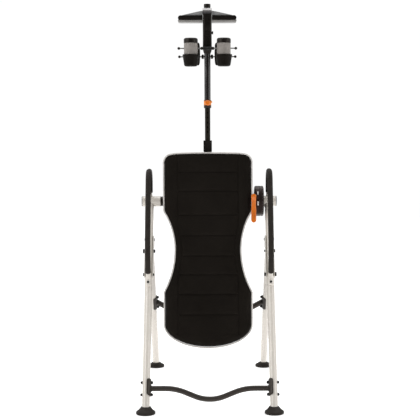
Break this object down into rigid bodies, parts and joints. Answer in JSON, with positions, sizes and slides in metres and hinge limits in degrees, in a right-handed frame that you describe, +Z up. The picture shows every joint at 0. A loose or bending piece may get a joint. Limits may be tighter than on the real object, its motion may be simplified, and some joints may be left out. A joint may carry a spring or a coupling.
{
  "type": "inversion table",
  "caption": "Folding inversion table with a waisted padded backrest, side hand rails, a disc brake lever and an adjustable ankle boom, held fully inverted.",
  "frame": {"origin": "on the floor at the centre of the overall footprint, below the bed's pivot axis", "axes": "+X to the right along the pivot axis, +Y towards the rear legs, +Z up; the ankle end points up at rest"},
  "size_m": [0.711, 1.233, 2.014],
  "materials": {
    "white_paint": "glossy warm white powder coat",
    "rubber": "matt moulded rubber",
    "dark_paint": "satin black powder coat",
    "black_bolts": "black oxide",
    "bracket_paint": "satin light grey paint",
    "steel": "zinc plated",
    "grey_plastic": "satin moulded plastic",
    "nylon": "smooth nylon",
    "foam_grip": "closed-cell foam",
    "charcoal_plastic": "satin moulded plastic",
    "pad_lining": "brake lining",
    "black_plastic": "semi-gloss moulded plastic",
    "black_gloss": "glossy black paint",
    "board": "textured board",
    "cushion_fabric": "woven nylon",
    "orange_plastic": "glossy moulded plastic",
    "bright_band": "bright plated cover",
    "silver_foam": "ribbed silver-grey foam sleeve"
  },
  "bodies": {
    "front_frame": {"left_front_leg": "white_paint", "right_front_leg": "white_paint", "left_front_foot": "rubber", "right_front_foot": "rubber", "front_crossbar": "dark_paint", "front_crossbar_bolts": "black_bolts", "left_hub": "white_paint", "right_hub": "white_paint", "hub_caps": "grey_plastic", "hub_bearings": "nylon", "left_hinge_bracket": "bracket_paint", "right_hinge_bracket": "bracket_paint", "fold_hinge_bolts": "steel", "bracket_bolts": "black_bolts", "left_hand_rail": "white_paint", "right_hand_rail": "white_paint", "left_grip": "foam_grip", "right_grip": "foam_grip", "hand_rail_screws": "black_bolts", "brake_drum": "charcoal_plastic", "brake_disc": "steel"},
    "rear_frame": {"left_rear_leg": "white_paint", "right_rear_leg": "white_paint", "left_rear_foot": "rubber", "right_rear_foot": "rubber", "rear_crossbar": "dark_paint", "rear_crossbar_bolts": "black_bolts"},
    "bed": {"pivot_axle": "steel", "axle_nuts": "steel", "pivot_tube": "dark_paint", "left_pivot_collar": "black_plastic", "bed_spine": "dark_paint", "spine_sleeve": "black_plastic", "index_tube": "black_gloss", "backboard": "board", "cushion": "cushion_fabric", "board_straps": "dark_paint", "board_screws": "steel", "brake_housing": "charcoal_plastic", "brake_caliper": "steel", "brake_pads": "pad_lining", "brake_lever_pin": "black_bolts"},
    "brake_lever": {"brake_lever": "orange_plastic"},
    "boom": {"boom_tube": "black_gloss", "boom_end_cap": "black_plastic", "height_collar": "orange_plastic", "height_spring": "steel", "ankle_housing": "black_plastic", "housing_band": "bright_band", "footplate": "black_plastic", "footplate_gusset": "grey_plastic", "heel_bar": "steel", "heel_cups": "black_plastic"},
    "height_knob": {"height_knob": "orange_plastic"},
    "lock_button": {"lock_button": "black_plastic"},
    "ankle_clamp": {"instep_slide": "black_bolts", "instep_bar": "steel", "instep_cups": "black_plastic", "instep_caps": "black_plastic", "instep_rollers": "silver_foam"}
  },
  "joints": [
    {"name": "bed_pitch", "type": "hinge", "parent": "front_frame", "child": "bed", "pos_m": [0, 0, 0.991], "axis": [1, 0, 0], "range_deg": [-152, 0]},
    {"name": "rear_fold", "type": "hinge", "parent": "front_frame", "child": "rear_frame", "pos_m": [0, -0.06574, 0.795], "axis": [-1, 0, 0], "range_deg": [0, 50]},
    {"name": "height_slide", "type": "slide", "parent": "bed", "child": "boom", "axis": [0, 0, 1], "range_m": [-0.14, 0.06]},
    {"name": "height_pin_pull", "type": "slide", "parent": "boom", "child": "height_knob", "axis": [0, -1, 0], "range_m": [0, 0.008], "stiffness_N_per_m": 800, "springref_m": -0.006, "deforming": ["height_spring"]},
    {"name": "ankle_slide", "type": "slide", "parent": "boom", "child": "ankle_clamp", "axis": [0, -1, 0], "range_m": [-0.012, 0.045]},
    {"name": "lock_button_press", "type": "slide", "parent": "boom", "child": "lock_button", "axis": [-1, 0, 0], "range_m": [0, 0.003], "stiffness_N_per_m": 600, "springref_m": -0.004},
    {"name": "brake_lever_pull", "type": "hinge", "parent": "bed", "child": "brake_lever", "pos_m": [0.2295, -0.089, 1.019], "axis": [-1, 0, 0], "range_deg": [0, 28], "stiffness_Nm_per_rad": 1.2, "springref_deg": -11.46}
  ]
}
